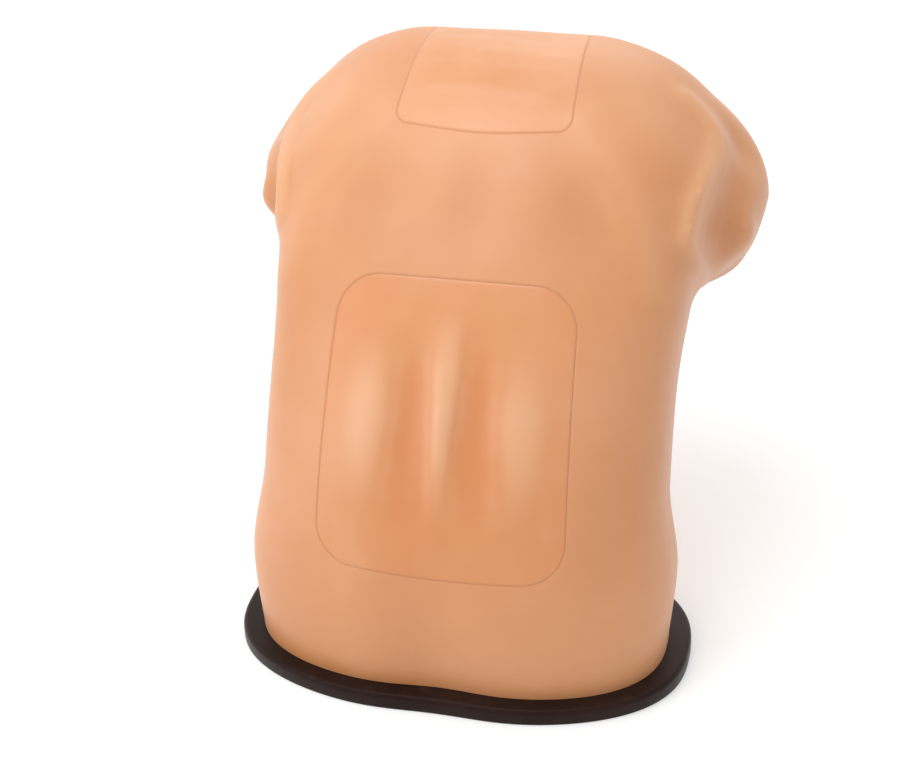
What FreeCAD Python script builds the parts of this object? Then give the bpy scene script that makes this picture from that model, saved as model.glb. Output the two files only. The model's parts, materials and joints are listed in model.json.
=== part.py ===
import FreeCAD, Part
import math
import os

# Ultrasound training torso for lumbar puncture: a hollow seated back, leaning
# forward, on a dark base plate. A large lumbar block and a smaller upper block
# rest in trays behind two windows of the shell. Each block is cast tissue round
# a run of vertebrae, discs, a ligament strip and a fluid-filled dural sac.
#
# Millimetres, +Z up, the person faces +Y and the back faces -Y. The origin is on
# the ground, at the middle of the base section.

# Driving dimensions of the body. The body is drawn straight, as x across,
# y forward and s up the spine, and is then bent forward along the spine. The
# spine starts at the foot height, and below it the body goes straight down.
spine_length = 560.0
lean_even = 65.0
lean_growing = 15.0
section_power = 2.5
foot_height = 3.0
# Each section: height, half width, depth to the back, depth to the front.
BODY_SECTIONS = (
    (0.0, 187.0, 105.0, 110.0),
    (70.0, 192.0, 110.0, 118.0),
    (150.0, 181.0, 108.0, 118.0),
    (230.0, 180.0, 103.0, 114.0),
    (310.0, 184.0, 101.0, 116.0),
    (390.0, 196.0, 105.0, 120.0),
    (455.0, 168.0, 99.0, 108.0),
    (515.0, 160.0, 81.0, 74.0),
    (555.0, 100.0, 32.0, 71.0),
    (620.0, 60.0, 12.0, 78.0),
)
neck_height = 600.0
neck_rounding = 6.0

# Shoulder girdle and arm stumps, as rounded cones in the straight body.
yoke_point = (45.0, 4.0, 458.0)
yoke_radius = 73.0
yoke_softness = 60.0
yoke_blend = 84.0
shoulder_point = (163.0, 52.0, 456.0)
shoulder_radius = 63.0
stump_point = (166.0, 95.0, 412.0)
stump_radius = 43.0
arm_blend = 42.0

# Shallow groove between the buttocks, at the foot of the back.
groove_depth = 6.0
groove_width = 46.0
groove_height = 95.0

# Shallow dip between the shoulders, at the top of the back.
dip_depth = 11.0
dip_width = 72.0
dip_place = 520.0
dip_height = 40.0

# Shell and its foot. The hollow runs past the foot, so that it is open there.
shell_wall = 4.5
hollow_overrun = 2.0
flange_width = 22.0
flange_thickness = 5.0
screw_hole_diameter = 4.2
boss_diameter = 12.0
boss_height = 9.0

# Base plate and its screws.
plate_thickness = 15.0
rim_side = 20.0
rim_back = 18.5
rim_front = 20.0
plate_edge_radius = 4.5
land_height = 3.0
land_gap = 0.6
screw_shank_diameter = 5.0
screw_head_diameter = 9.5
screw_head_height = 3.2
screw_head_recess = 7.0
screw_clearance = 0.5
screw_angles = (0.0, 58.0, 122.0, 180.0, 238.0, 302.0)
screw_end_gap = 2.0
hole_overrun = 1.0

# Lumbar insert, as heights up the straight body and widths across the back. Its
# depth follows from its bones and the cover of tissue in front of them.
lumbar_low = 94.0
lumbar_high = 299.0
lumbar_half_low = 110.0
lumbar_half_high = 103.0
lumbar_corner = 38.0
lumbar_cover = 7.0
lumbar_sag = 3.0

# Upper insert.
upper_low = 409.0
upper_high = 532.0
upper_half_low = 78.0
upper_half_high = 70.0
upper_corner = 14.0
upper_cover = 8.0
upper_sag = 7.0

# The gap is the same round an insert in its window and in its tray. Cutting
# blocks reach past the skin, and windows stop short of the far side of the wall.
insert_gap = 0.6
cut_reach = 60.0
window_reach = 50.0
tray_wall = 3.0

# Relief of the lumbar back: one ridge over the spines and a furrow and a
# muscle roll on either side of it. All of it fades out toward the insert's ends,
# and the ridge is highest a little below the middle.
ridge_height = 4.5
ridge_width = 9.0
ridge_place = -12.0
ridge_run = 72.0
furrow_depth = 4.5
furrow_place = 30.0
furrow_width = 15.0
muscle_height = 4.0
muscle_place = 63.0
muscle_width = 22.0
relief_edge = 55.0
relief_margin = 8.0

# Lumbar vertebrae. Pitches are measured along the canals; the offset moves the
# whole run up from the middle of the insert.
lumbar_count = 5
lumbar_pitch = 35.0
lumbar_offset = 12.0
lumbar_canal_depth = 52.0
lumbar_body_width = 46.0
lumbar_body_depth = 31.0
lumbar_body_height = 26.0
lumbar_canal_width = 23.0
lumbar_canal_size = 16.0
lumbar_spine_length = 27.0
lumbar_spine_height = 17.0
lumbar_spine_drop = 3.0
lumbar_process_span = 78.0

# Upper thoracic vertebrae.
upper_count = 4
upper_pitch = 27.0
upper_offset = -2.0
upper_canal_low_depth = 58.0
upper_canal_high_depth = 40.0
upper_body_width = 31.0
upper_body_depth = 19.0
upper_body_height = 19.0
upper_canal_width = 17.0
upper_canal_size = 14.0
upper_spine_length = 22.0
upper_spine_height = 8.0
upper_spine_drop = 9.0
upper_process_span = 62.0

# Shared by both runs of vertebrae.
pedicle_width = 8.0
lamina_thickness = 6.0
arch_share = 0.62
spine_root_thickness = 7.0
spine_tip_thickness = 6.0
process_root_size = 10.0
process_tip_size = 6.0
process_flatness = 0.85
spine_root_share = 0.9
canal_overrun = 1.5
canal_lining = 1.2
body_setback = 1.5
ligament_thickness = 2.5
ligament_share = 0.4
sac_share = 0.62
sac_offset = 1.5

# Upper part of the sacrum.
sacrum_width = 96.0
sacrum_height = 27.0
sacrum_taper = 0.72
sacrum_margin = 2.0
sacrum_back_width = 32.0
crest_height = 7.0
crest_root_share = 0.8
crest_tip_share = 0.6
crest_overlap = 1.0

# Density of the grids that carry the curved skins.
ROWS = 24
COLUMNS = 36
PATCH_ROWS = 4
PATCH_COLUMNS = 6
RELIEF_ROWS = 17
RELIEF_COLUMNS = 27

# Rays that find the skin: how far they are searched, how often the reach is
# halved, where they leave the core, and how they tilt up the body.
search_reach = 420.0
search_steps = 26
height_margin = 20.0
spine_steps = 24
RAY_HEIGHTS = (340.0, 420.0, 460.0, 505.0)
RAY_SHARES = (0.0, 0.45, 0.58, 0.70, 0.84, 1.0)
RAY_TILTS = (0.0, 0.0, -6.0, 8.0, 14.0, 0.0)

X_AXIS = FreeCAD.Vector(1, 0, 0)
Z_AXIS = FreeCAD.Vector(0, 0, 1)


def between(value, places, levels):
    """Smooth curve through the levels at the places, with no overshoot."""
    value = min(max(value, places[0]), places[-1])
    last = len(places) - 1
    slopes = [(levels[i + 1] - levels[i]) / (places[i + 1] - places[i]) for i in range(last)]

    def tangent(i):
        if i == 0:
            return slopes[0]
        if i == last:
            return slopes[-1]
        before, after = slopes[i - 1], slopes[i]
        if before * after <= 0:
            return 0.0
        return 2 * before * after / (before + after)

    i = 0
    while i < last - 1 and value > places[i + 1]:
        i += 1
    step = places[i + 1] - places[i]
    t = (value - places[i]) / step
    start = (2 * t**3 - 3 * t**2 + 1) * levels[i] + (t**3 - 2 * t**2 + t) * step * tangent(i)
    end = (3 * t**2 - 2 * t**3) * levels[i + 1] + (t**3 - t**2) * step * tangent(i + 1)
    return start + end


def blend(first, second, width):
    """Smaller of two distances, rounded over the given width."""
    share = min(max(0.5 + 0.5 * (second - first) / width, 0.0), 1.0)
    return second * (1 - share) + first * share - width * share * (1 - share)


def cone_distance(point, start, end, start_radius, end_radius):
    """Distance of a point from a cone with two round ends."""
    axis = [b - a for a, b in zip(start, end)]
    offset = [c - a for a, c in zip(start, point)]
    length = sum(c * c for c in axis)
    share = min(max(sum(a * b for a, b in zip(offset, axis)) / length, 0.0), 1.0)
    gap = math.sqrt(sum((a - share * b) ** 2 for a, b in zip(offset, axis)))
    return gap - (start_radius + share * (end_radius - start_radius))


SECTION_HEIGHTS = [section[0] for section in BODY_SECTIONS]
HALF_WIDTHS = [section[1] for section in BODY_SECTIONS]
BACK_DEPTHS = [section[2] for section in BODY_SECTIONS]
FRONT_DEPTHS = [section[3] for section in BODY_SECTIONS]


def section_level(x, y, s, inset):
    """Distance of a point outside the trunk's own section, made smaller by inset."""
    half_width = between(s, SECTION_HEIGHTS, HALF_WIDTHS) - inset
    if y < 0:
        groove = math.exp(-((s / groove_height) ** 2)) * math.exp(-((x / groove_width) ** 2))
        dip = math.exp(-(((s - dip_place) / dip_height) ** 2)) * math.exp(-((x / dip_width) ** 4))
        hollow = groove_depth * groove + dip_depth * dip
        depth = between(s, SECTION_HEIGHTS, BACK_DEPTHS) - inset - hollow
    else:
        depth = between(s, SECTION_HEIGHTS, FRONT_DEPTHS) - inset
    reach = (abs(x) / half_width) ** section_power + (abs(y) / depth) ** section_power
    return (reach ** (1 / section_power) - 1) * min(half_width, depth)


def body_distance(x, y, s, inset):
    """Distance outside the straight body, made smaller all round by inset."""
    side = abs(x)
    soft = (math.hypot(x, yoke_softness), y, s)
    trunk = section_level(x, y, s, inset)
    yoke = cone_distance(soft, yoke_point, shoulder_point, yoke_radius - inset, shoulder_radius - inset)
    start_radius = shoulder_radius - inset
    arm = cone_distance((side, y, s), shoulder_point, stump_point, start_radius, stump_radius - inset)
    return blend(blend(trunk, yoke, yoke_blend), arm, arm_blend)


def reach_along(start, direction, inset):
    """Place where a ray from inside the straight body leaves it."""
    near, far = 0.0, search_reach
    for _ in range(search_steps):
        middle = (near + far) / 2
        point = [a + middle * b for a, b in zip(start, direction)]
        if body_distance(point[0], point[1], point[2], inset) < 0:
            near = middle
        else:
            far = middle
    return [a + near * b for a, b in zip(start, direction)]


def lean_at(s):
    """Forward lean of the spine at a height along it, in radians."""
    share = max(s, 0.0) / spine_length
    return math.radians(lean_even * share + lean_growing * share * share)


def spine_at(s):
    """Place of the spine at a height along it, by adding up short steps."""
    y = 0.0
    z = plate_thickness + foot_height
    for i in range(spine_steps):
        angle = lean_at(s * (i + 0.5) / spine_steps)
        y += math.sin(angle) * s / spine_steps
        z += math.cos(angle) * s / spine_steps
    return FreeCAD.Vector(0, y, z)


def bent(x, y, s):
    """Point of the straight body after it is bent along the spine."""
    angle = lean_at(s)
    forward = FreeCAD.Vector(0, math.cos(angle), -math.sin(angle))
    return spine_at(s) + X_AXIS * x + forward * y


def skin_rows(inset, low, high):
    """Points of the body's skin, row by row from the foot to the neck.

    The rays of a row leave the core together, all tilted alike, so that they meet
    the shoulders and the stumps squarely. The seam of each row is at the front.
    """
    ray_heights = (low, *RAY_HEIGHTS, high)
    rows = []
    for i in range(ROWS):
        share = i / (ROWS - 1)
        height = between(share, RAY_SHARES, ray_heights)
        tilt = math.radians(between(share, RAY_SHARES, RAY_TILTS))
        row = []
        for j in range(COLUMNS):
            turn = 2 * math.pi * j / COLUMNS
            direction = (
                -math.cos(tilt) * math.sin(turn),
                math.cos(tilt) * math.cos(turn),
                math.sin(tilt),
            )
            row.append(bent(*reach_along((0.0, 0.0, height), direction, inset)))
        rows.append(row)
    return rows


def closed_curve(points):
    """Smooth closed curve through the points."""
    curve = Part.BSplineCurve()
    marks = [float(i) for i in range(len(points) + 1)]
    curve.interpolate(Points=points, Parameters=marks, PeriodicFlag=True)
    return curve


def open_curve(points):
    """Smooth open curve through the points."""
    curve = Part.BSplineCurve()
    curve.interpolate(Points=points, Parameters=[float(i) for i in range(len(points))])
    return curve


def skin_surface(rows):
    """Smooth surface through the rows of points, closed round the body."""
    rings = [closed_curve(row) for row in rows]
    poles = [ring.getPoles() for ring in rings]
    columns = [open_curve([ring[j] for ring in poles]) for j in range(len(poles[0]))]
    surface = Part.BSplineSurface()
    surface.buildFromPolesMultsKnots(
        [column.getPoles() for column in columns],
        rings[0].getMultiplicities(),
        columns[0].getMultiplicities(),
        rings[0].getKnots(),
        columns[0].getKnots(),
        True,
        False,
        3,
        3,
    )
    return surface


def marks(count, step):
    """Places from 0 to count, step by step, with the last one always kept."""
    return [float(i) for i in range(0, count, step)] + [float(count)]


def skin_solid(rows):
    """Closed solid of a smooth skin, in patches, with flat ends."""
    surface = skin_surface(rows)
    turns = marks(COLUMNS, PATCH_COLUMNS)
    levels = marks(ROWS - 1, PATCH_ROWS)
    faces = []
    for start, end in zip(turns, turns[1:]):
        for low, high in zip(levels, levels[1:]):
            patch = surface.copy()
            patch.segment(start, end, low, high)
            faces.append(patch.toShape())
    for level in (levels[0], levels[-1]):
        ring = surface.vIso(level)
        edges = [ring.toShape(start, end) for start, end in zip(turns, turns[1:])]
        faces.append(Part.Face(Part.Wire(edges)))
    shell = Part.makeShell(faces)
    shell.sewShape()
    solid = Part.Solid(shell)
    if solid.Volume < 0:
        solid.reverse()
    return solid


def body_solid(inset, low, high):
    """Solid body, smaller than the skin by inset all round."""
    return skin_solid(skin_rows(inset, low, high))


def base_point(turn, grow_side, grow_back, grow_front):
    """Point round the foot of the body, moved outward, at an angle from the front."""
    dx = -math.sin(turn)
    dy = math.cos(turn)
    near, far = 0.0, search_reach
    for _ in range(search_steps):
        middle = (near + far) / 2
        if section_level(middle * dx, middle * dy, 0.0, 0.0) < 0:
            near = middle
        else:
            far = middle
    along_y = grow_back if dy < 0 else grow_front
    reach = near + math.hypot(grow_side * dx, along_y * dy)
    return FreeCAD.Vector(reach * dx, reach * dy, 0)


def foot_face(rims, inset, z):
    """Flat face round the foot, grown by the rims and then moved inward evenly."""
    points = []
    for j in range(COLUMNS):
        point = base_point(2 * math.pi * j / COLUMNS, *rims)
        points.append(moved_in(point, inset) + Z_AXIS * z)
    return Part.Face(Part.Wire([closed_curve(points).toShape()]))


def moved_in(point, inset):
    """Point of the foot, moved toward its middle."""
    return point * ((point.Length - inset) / point.Length)


def rounded_neck(body, radius):
    """Body with the edge of its neck end rounded."""
    flat = [face for face in body.Faces if isinstance(face.Surface, Part.Plane)]
    top = max(flat, key=lambda face: face.CenterOfMass.z)
    return body.makeFillet(radius, top.Edges)


class Frame:
    """Flat frame on the back: across, along the back upward, and outward."""

    def __init__(self, low, high):
        foot = bent(*reach_along((0.0, 0.0, low), (0.0, -1.0, 0.0), 0.0))
        head = bent(*reach_along((0.0, 0.0, high), (0.0, -1.0, 0.0), 0.0))
        self.along = (head - foot).normalize()
        self.outward = self.along.cross(X_AXIS) * -1
        middle = (low + high) / 2
        self.origin = bent(*reach_along((0.0, 0.0, middle), (0.0, -1.0, 0.0), 0.0))
        self.low = (foot - self.origin).dot(self.along)
        self.high = (head - self.origin).dot(self.along)
        self.lean = math.degrees(math.atan2(self.outward.z, -self.outward.y))

    def at(self, across, along, outward=0.0):
        return self.origin + X_AXIS * across + self.along * along + self.outward * outward

    def depth_of(self, pieces):
        """How deep the deepest of the pieces lies under the frame."""
        turned = Part.makeCompound(pieces)
        turned.rotate(self.origin, X_AXIS, self.lean)
        return turned.optimalBoundingBox(False, False).YMax - self.origin.y

    def skin(self, across, along):
        """How far outward the skin lies above a point of the frame."""
        near, far = -window_reach - cut_reach, cut_reach
        for _ in range(search_steps):
            middle = (near + far) / 2
            if straight_distance(self.at(across, along, middle)) < 0:
                near = middle
            else:
                far = middle
        return near


def straight_distance(point):
    """Distance outside the bent body, found by straightening the point first."""
    s_low, s_high = -height_margin, neck_height + height_margin
    for _ in range(search_steps):
        s = (s_low + s_high) / 2
        angle = lean_at(s)
        ahead = (point - spine_at(s)).dot(FreeCAD.Vector(0, math.sin(angle), math.cos(angle)))
        if ahead > 0:
            s_low = s
        else:
            s_high = s
    forward = FreeCAD.Vector(0, math.cos(angle), -math.sin(angle))
    return body_distance(point.x, (point - spine_at(s)).dot(forward), s, 0.0)


def corner_arc(before, corner, after, radius):
    """Start, middle and end of the arc that rounds a corner."""
    back = (before - corner).normalize()
    ahead = (after - corner).normalize()
    half = math.acos(max(-1.0, min(1.0, back.dot(ahead)))) / 2
    run = radius / math.tan(half)
    centre = corner + (back + ahead).normalize() * (radius / math.sin(half))
    middle = centre + (corner - centre).normalize() * radius
    return corner + back * run, middle, corner + ahead * run


def insert_wire(frame, insert, grow, outward):
    """Outline of an insert in its frame, moved outward by grow, at one level."""
    low = frame.low - grow
    high = frame.high + grow
    corners = [
        frame.at(-insert["half_low"] - grow, low, outward),
        frame.at(insert["half_low"] + grow, low, outward),
        frame.at(insert["half_high"] + grow, high, outward),
        frame.at(-insert["half_high"] - grow, high, outward),
    ]
    radius = insert["corner"] + grow
    arcs = []
    for i in range(4):
        arcs.append(corner_arc(corners[i - 1], corners[i], corners[(i + 1) % 4], radius))
    edges = []
    for i in range(4):
        start, middle, end = arcs[i]
        edges.append(Part.Arc(start, middle, end).toShape())
        following = arcs[(i + 1) % 4][0]
        if i == 0:
            dip = (end + following) * 0.5 - frame.along * insert["sag"]
            edges.append(Part.Arc(end, dip, following).toShape())
        else:
            edges.append(Part.LineSegment(end, following).toShape())
    return Part.Wire(edges)


def insert_prism(frame, insert, grow, bottom, top):
    """Straight block with the outline of an insert between two levels."""
    face = Part.Face(insert_wire(frame, insert, grow, bottom))
    return face.extrude(frame.outward * (top - bottom))


def relief(across, along, frame):
    """Height of the lumbar relief, which fades out toward the insert's ends."""
    side = abs(across)
    run = math.exp(-(((along - ridge_place) / ridge_run) ** 2))
    ridge = ridge_height * run * math.exp(-((across / ridge_width) ** 2))
    furrow = -furrow_depth * math.exp(-(((side - furrow_place) / furrow_width) ** 2))
    muscle = muscle_height * math.exp(-(((side - muscle_place) / muscle_width) ** 2))
    edge = min(along - frame.low, frame.high - along) / relief_edge
    fade = 1 - math.exp(-max(edge, 0.0) ** 2)
    return (ridge + furrow + muscle) * fade


def relief_cutter(frame, insert):
    """Block that ends outward in the lumbar skin with its relief."""
    reach = insert["half_low"] + relief_margin
    rows = []
    for j in range(RELIEF_COLUMNS):
        across = reach * (2 * j / (RELIEF_COLUMNS - 1) - 1)
        row = []
        for i in range(RELIEF_ROWS):
            share = i / (RELIEF_ROWS - 1)
            along = frame.low - relief_margin + (frame.high - frame.low + 2 * relief_margin) * share
            level = frame.skin(across, along) + relief(across, along, frame)
            row.append(frame.at(across, along, level))
        rows.append(row)
    surface = Part.BSplineSurface()
    surface.interpolate(rows)
    return surface.toShape().extrude(frame.outward * -(insert["depth"] + 2 * cut_reach))


def tray(frame, insert, under_skin):
    """Closed tray behind a window, with its rim bonded under the skin of the shell."""
    grow = insert_gap + tray_wall
    block = insert_prism(frame, insert, grow, -insert["depth"] - tray_wall, cut_reach)
    hollow = insert_prism(frame, insert, insert_gap, -insert["depth"], cut_reach)
    return block.common(under_skin).cut(hollow)


class SpineArc:
    """Round arc along the spine between two heights, set back by a depth at each end."""

    def __init__(self, low, high, low_depth, high_depth):
        ends = [bent(0.0, -low_depth, low), bent(0.0, -high_depth, high)]
        self.middle = bent(0.0, -(low_depth + high_depth) / 2, (low + high) / 2)
        circle = Part.Arc(ends[0], self.middle, ends[1]).toShape().Curve
        self.centre = circle.Center
        self.radius = circle.Radius
        outward = self.middle - self.centre
        self.lean = math.degrees(math.atan2(outward.z, -outward.y))

    def place(self, shape, distance):
        """Shape drawn about the canal's middle, put at a distance along the arc."""
        moved = shape.copy()
        moved.rotate(FreeCAD.Vector(0, 0, 0), X_AXIS, -self.lean)
        moved.translate(self.middle)
        moved.rotate(self.centre, X_AXIS, -math.degrees(distance / self.radius))
        return moved

    def carry(self, face, start, end):
        """Solid swept by a flat face along the arc, from one distance to another."""
        first = self.place(face, start)
        turn = math.degrees((end - start) / self.radius)
        return first.revolve(self.centre, X_AXIS * -1, turn)


def oval_face(width, depth, centre_y):
    """Flat oval across the canal."""
    ellipse = Part.Ellipse(FreeCAD.Vector(0, centre_y, 0), width / 2, depth / 2)
    return Part.Face(Part.Wire([ellipse.toShape()]))


def flat_face(corners):
    """Flat face through its corners, in order."""
    return Part.Face(Part.makePolygon(corners + corners[:1]))


def flat_sided(first, second):
    """Solid between two like outlines, with flat sides."""
    faces = [flat_face(first), flat_face(second)]
    for i in range(len(first)):
        j = (i + 1) % len(first)
        faces.append(flat_face([first[i], first[j], second[j], second[i]]))
    solid = Part.Solid(Part.makeShell(faces))
    if solid.Volume < 0:
        solid.reverse()
    return solid


def tapered(start, end, start_size, end_size):
    """Straight tapered bar between two points, with upright rectangular ends."""
    side = (end - start).cross(Z_AXIS).normalize()
    ends = []
    for point, (wide, tall) in ((start, start_size), (end, end_size)):
        across = side * (wide / 2)
        up = Z_AXIS * (tall / 2)
        ends.append([point - across - up, point + across - up, point + across + up, point - across + up])
    return flat_sided(ends[0], ends[1])


def arch(kind):
    """Back half of a vertebra: the roof of the canal, its spine and two wings."""
    half_canal = kind["canal_size"] / 2
    wide = kind["canal_width"] / 2
    height = kind["body_height"] * arch_share
    rim = lamina_thickness
    outline = [
        FreeCAD.Vector(-wide - pedicle_width, half_canal + rim / 2, -height / 2),
        FreeCAD.Vector(wide + pedicle_width, half_canal + rim / 2, -height / 2),
        FreeCAD.Vector(wide + rim, -half_canal / 4, -height / 2),
        FreeCAD.Vector(rim, -half_canal - rim, -height / 2),
        FreeCAD.Vector(-rim, -half_canal - rim, -height / 2),
        FreeCAD.Vector(-wide - rim, -half_canal / 4, -height / 2),
    ]
    roof = flat_face(outline).extrude(Z_AXIS * height)
    root = FreeCAD.Vector(0, -half_canal - rim / 2, 0)
    tip = root + FreeCAD.Vector(0, -kind["spine_length"], -kind["spine_drop"])
    tall = min(kind["spine_height"], height * spine_root_share)
    root_size = (spine_root_thickness, tall)
    pieces = [tapered(root, tip, root_size, (spine_tip_thickness, kind["spine_height"]))]
    for side in (-1, 1):
        inner = FreeCAD.Vector(side * (wide + rim / 2), half_canal / 4, 0)
        outer = FreeCAD.Vector(side * kind["process_span"] / 2, -half_canal / 2, 0)
        inner_size = (process_root_size, process_root_size * process_flatness)
        outer_size = (process_tip_size, process_tip_size * process_flatness)
        pieces.append(tapered(inner, outer, inner_size, outer_size))
    return roof.fuse(pieces)


def vertebra(kind, arc, distance):
    """One vertebra on the arc, its body between two faces square to the arc."""
    half = kind["body_height"] / 2
    body_y = kind["canal_size"] / 2 + body_setback + kind["body_depth"] / 2
    face = oval_face(kind["body_width"], kind["body_depth"], body_y)
    body = arc.carry(face, distance - half, distance + half)
    reach = kind["body_height"] * canal_overrun
    canal = arc.carry(canal_face(kind), distance - reach, distance + reach)
    bone = body.fuse(arc.place(arch(kind), distance)).cut(canal)
    return bone.removeSplitter()


def canal_face(kind):
    """Flat oval of the canal."""
    return oval_face(kind["canal_width"], kind["canal_size"], 0.0)


def disc(kind, arc, low, high):
    """Disc between two vertebral bodies, face to face with both."""
    body_y = kind["canal_size"] / 2 + body_setback + kind["body_depth"] / 2
    return arc.carry(oval_face(kind["body_width"], kind["body_depth"], body_y), low, high)


def ligament_face(kind):
    """Flat strip at the back of the canal."""
    half = kind["canal_width"] * ligament_share / 2
    back = -kind["canal_size"] / 2 + canal_lining
    front = back + ligament_thickness
    corners = [(-half, back), (half, back), (half, front), (-half, front)]
    return flat_face([FreeCAD.Vector(x, y, 0) for x, y in corners])


def sacrum_solid(kind):
    """Upper part of the sacrum, with its top face at the origin's level."""
    back = -kind["canal_size"] / 2 - lamina_thickness
    front = kind["canal_size"] / 2 + body_setback + kind["body_depth"] + sacrum_margin
    wing = sacrum_width / 2
    seat = kind["body_width"] / 2 + sacrum_margin
    heel = sacrum_back_width / 2
    outline = [(-wing, 0.0), (-seat, front), (seat, front), (wing, 0.0), (heel, back), (-heel, back)]
    top = [FreeCAD.Vector(x, y, 0) for x, y in outline]
    foot = [FreeCAD.Vector(x, y, 0) * sacrum_taper - Z_AXIS * sacrum_height for x, y in outline]
    low = FreeCAD.Vector(0, back * sacrum_taper + crest_overlap, -sacrum_height / 2)
    crest = tapered(
        low,
        low + FreeCAD.Vector(0, back * (1 - sacrum_taper) - crest_height, 0),
        (spine_root_thickness, sacrum_height * crest_root_share),
        (spine_tip_thickness, sacrum_height * crest_tip_share),
    )
    return flat_sided(top, foot).fuse(crest)


NO_RIM = (0.0, 0.0, 0.0)
RIM = (rim_side, rim_back, rim_front)
LUMBAR = {
    "half_low": lumbar_half_low,
    "half_high": lumbar_half_high,
    "corner": lumbar_corner,
    "cover": lumbar_cover,
    "sag": lumbar_sag,
}
UPPER = {
    "half_low": upper_half_low,
    "half_high": upper_half_high,
    "corner": upper_corner,
    "cover": upper_cover,
    "sag": upper_sag,
}
LUMBAR_BONE = {
    "body_width": lumbar_body_width,
    "body_depth": lumbar_body_depth,
    "body_height": lumbar_body_height,
    "canal_width": lumbar_canal_width,
    "canal_size": lumbar_canal_size,
    "spine_length": lumbar_spine_length,
    "spine_height": lumbar_spine_height,
    "spine_drop": lumbar_spine_drop,
    "process_span": lumbar_process_span,
}
UPPER_BONE = {
    "body_width": upper_body_width,
    "body_depth": upper_body_depth,
    "body_height": upper_body_height,
    "canal_width": upper_canal_width,
    "canal_size": upper_canal_size,
    "spine_length": upper_spine_length,
    "spine_height": upper_spine_height,
    "spine_drop": upper_spine_drop,
    "process_span": upper_process_span,
}


def torso_shell(outer, under_skin, lumbar_frame, upper_frame):
    """Body shell of even wall, with two windows, a foot flange and screw bosses."""
    base = plate_thickness
    flange = foot_face(NO_RIM, shell_wall / 2, base).extrude(Z_AXIS * flange_thickness)
    opening = foot_face(NO_RIM, shell_wall + flange_width, base).extrude(Z_AXIS * flange_thickness)
    shell = outer.cut(under_skin).fuse(flange.cut(opening))
    points = screw_points()
    top = base + flange_thickness + boss_height
    shell = shell.fuse([upright(boss_diameter, point, base, top) for point in points])
    holes = [upright(screw_hole_diameter, point, base, top) for point in points]
    holes.append(insert_prism(lumbar_frame, LUMBAR, insert_gap, -window_reach, cut_reach))
    holes.append(insert_prism(upper_frame, UPPER, insert_gap, -window_reach, cut_reach))
    return shell.cut(holes)


def screw_points():
    """Places of the screws round the foot, in the middle of the flange."""
    inset = shell_wall + flange_width / 2
    return [moved_in(base_point(math.radians(angle), *NO_RIM), inset) for angle in screw_angles]


def upright(diameter, point, low, high):
    """Upright cylinder over a point, between two heights."""
    return Part.makeCylinder(diameter / 2, high - low, FreeCAD.Vector(point.x, point.y, low))


def base_plate():
    """Dark plate that follows the foot of the body, with a land inside the flange."""
    plate = foot_face(RIM, 0.0, 0.0).extrude(Z_AXIS * plate_thickness)
    top_edges = [edge for edge in plate.Edges if edge.BoundBox.ZMin > plate_thickness / 2]
    plate = plate.makeFillet(plate_edge_radius, top_edges)
    land = foot_face(NO_RIM, shell_wall + flange_width + land_gap, plate_thickness)
    plate = plate.fuse(land.extrude(Z_AXIS * land_height))
    holes = []
    for point in screw_points():
        shank = screw_shank_diameter + screw_clearance
        head = screw_head_diameter + screw_clearance
        holes.append(upright(shank, point, -hole_overrun, plate_thickness + hole_overrun))
        holes.append(upright(head, point, -hole_overrun, screw_head_recess))
    return plate.cut(holes)


def base_screws():
    """Pan-head screws, up through the plate into the bosses of the shell."""
    screws = []
    top = plate_thickness + flange_thickness + boss_height - screw_end_gap
    seat = screw_head_recess
    for point in screw_points():
        head = upright(screw_head_diameter, point, seat - screw_head_height, seat)
        shank = upright(screw_hole_diameter, point, seat, top)
        screws.append(head.fuse(shank).removeSplitter())
    return Part.makeCompound(screws)


def spine_pieces(prefix, letter, count, kind, arc, pitch, offset):
    """Vertebrae from the top down, the discs between them, the sac and the strip."""
    pieces = {}
    half = kind["body_height"] / 2
    places = [offset + pitch * ((count - 1) / 2 - i) for i in range(count)]
    names = [letter + str(i + 1) for i in range(count)]
    for name, place in zip(names, places):
        pieces["vertebra_" + name] = vertebra(kind, arc, place)
    for i in range(count - 1):
        name = "disc_" + names[i] + "_" + names[i + 1]
        pieces[name] = disc(kind, arc, places[i + 1] + half, places[i] - half)
    low = places[-1] - pitch
    high = places[0] + half
    size = kind["canal_size"] * sac_share
    sac = oval_face(kind["canal_width"] * sac_share, size, sac_offset)
    pieces[prefix + "_dural_sac"] = arc.carry(sac, low, high)
    pieces[prefix + "_ligament"] = arc.carry(ligament_face(kind), low, high)
    return pieces


def lumbar_pieces(arc):
    """Lumbar run with the top of the sacrum under its last disc."""
    pieces = spine_pieces("lumbar", "l", lumbar_count, LUMBAR_BONE, arc, lumbar_pitch, lumbar_offset)
    lowest = lumbar_offset - lumbar_pitch * (lumbar_count - 1) / 2 - lumbar_body_height / 2
    top = lowest - (lumbar_pitch - lumbar_body_height)
    pieces["disc_l" + str(lumbar_count) + "_s1"] = disc(LUMBAR_BONE, arc, top, lowest)
    canal = arc.carry(canal_face(LUMBAR_BONE), top - 2 * sacrum_height, top + lumbar_pitch)
    pieces["sacrum"] = arc.place(sacrum_solid(LUMBAR_BONE), top).cut(canal)
    return pieces


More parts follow.
